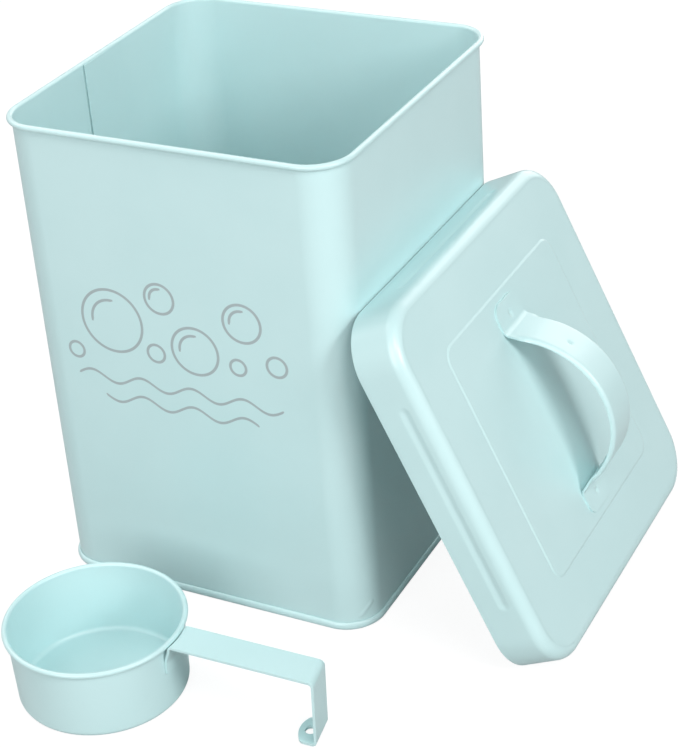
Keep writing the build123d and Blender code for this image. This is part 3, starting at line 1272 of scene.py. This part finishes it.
@dataclass
class Studio:
    """White sweep, soft lamps and the camera."""

    floor_size: float = 16.0
    floor_colour: Colour = (0.5, 0.5, 0.5, 1.0)
    floor_mirrored: Colour = (0.5, 0.5, 0.5, 1.0)
    floor_seen: Colour = (0.15, 0.15, 0.15, 1.0)
    floor_glow: float = 0.9
    sky_colour: Colour = (1.0, 1.0, 1.0, 1.0)
    sky_light: float = 0.1
    aim: Point = (0.05, -0.03, 0.1)
    lamps: tuple[Lamp, ...] = (
        Lamp("right_lamp", (1.5, -0.418, 0.898), 0.5, 12.3),
        Lamp("high_lamp", (0.921, -0.761, 1.363), 0.5, 7.2),
        Lamp("front_lamp", (0.05, -1.583, 0.791), 1.2, 15.3),
        Lamp("back_lamp", (0.184, 1.504, 0.818), 1.2, 10.6),
        Lamp("left_lamp", (-0.99, 0.06, 1.44), 1.2, 13.9),
    )
    focal_pixels: float = 1960.5
    picture_height: float = 748.0
    azimuth: float = 28.744
    elevation: float = 30.16
    roll: float = 4.41
    camera_place: Point = (434.08 * MM, -729.19 * MM, 569.75 * MM)

    def build(self) -> None:
        """Set up the floor, the light and the camera."""
        self.sweep()
        self.sky()
        for lamp in self.lamps:
            lamp.build(self.aim)
        self.camera()
        bpy.context.scene.view_settings.view_transform = "Standard"

    def sweep(self) -> None:
        """Lay the floor: white in the picture and pale in reflections, with the set's soft shadow."""
        bpy.ops.object.select_all(action="DESELECT")
        bpy.ops.mesh.primitive_plane_add(size=self.floor_size)
        floor = bpy.context.active_object
        floor.name = "studio_floor"
        book = MaterialBook("floor_sweep")
        rays = book.rays()
        direct = rays[Ray.CAMERA].most(rays[Ray.THROUGH])
        colour = book.blend(rays[Ray.GLOSSY], self.floor_colour, self.floor_mirrored)
        colour = book.blend(direct, colour, self.floor_seen)
        plain = book.node("ShaderNodeBsdfDiffuse", sockets={"Color": colour})
        glow = book.node("ShaderNodeEmission", sockets={"Strength": direct * self.floor_glow})
        both = book.node("ShaderNodeAddShader", sockets={0: plain.outputs[0], 1: glow.outputs[0]})
        book.feed(book.output.inputs["Surface"], both.outputs[0])
        floor.data.materials.append(book.material)

    def sky(self) -> None:
        """Pale light from all round, white where it is seen."""
        world = bpy.data.worlds.new("studio_sky")
        bpy.context.scene.world = world
        world.use_nodes = True
        book = NodeBook(world.node_tree)
        rays = book.rays()
        seen = rays[Ray.CAMERA].most(rays[Ray.GLOSSY]).most(rays[Ray.THROUGH])
        level = book.node("ShaderNodeMapRange", sockets={"Value": seen, "To Min": self.sky_light})
        sky = book.tree.nodes["Background"]
        book.feed(sky.inputs["Color"], self.sky_colour)
        book.feed(sky.inputs["Strength"], level.outputs["Result"])

    def camera(self) -> None:
        """Set the camera where the picture was taken from."""
        data = bpy.data.cameras.new("camera")
        data.lens = self.focal_pixels * data.sensor_width / self.picture_height
        camera = bpy.data.objects.new("camera", data)
        around, above = math.radians(self.azimuth), math.radians(self.elevation)
        back = Vector((
            math.sin(around) * math.cos(above), -math.cos(around) * math.cos(above), math.sin(above)))
        level = back.to_track_quat("Z", "Y").to_matrix().to_4x4()
        rolled = level @ Matrix.Rotation(-math.radians(self.roll), 4, "Z")
        camera.matrix_world = Matrix.Translation(self.camera_place) @ rolled
        bpy.context.scene.collection.objects.link(camera)
        bpy.context.scene.camera = camera


def corners(box: Iterable[Vector]) -> list[list[float]]:
    """A box's two corners as plain lists."""
    return [list(corner) for corner in box]


def main() -> None:
    """Build the set and the studio."""
    for part in (Bucket(), Lid(), Scoop(), Studio()):
        part.build()
        log.info("%s done", type(part).__name__)


if __name__ == "__main__":
    main()
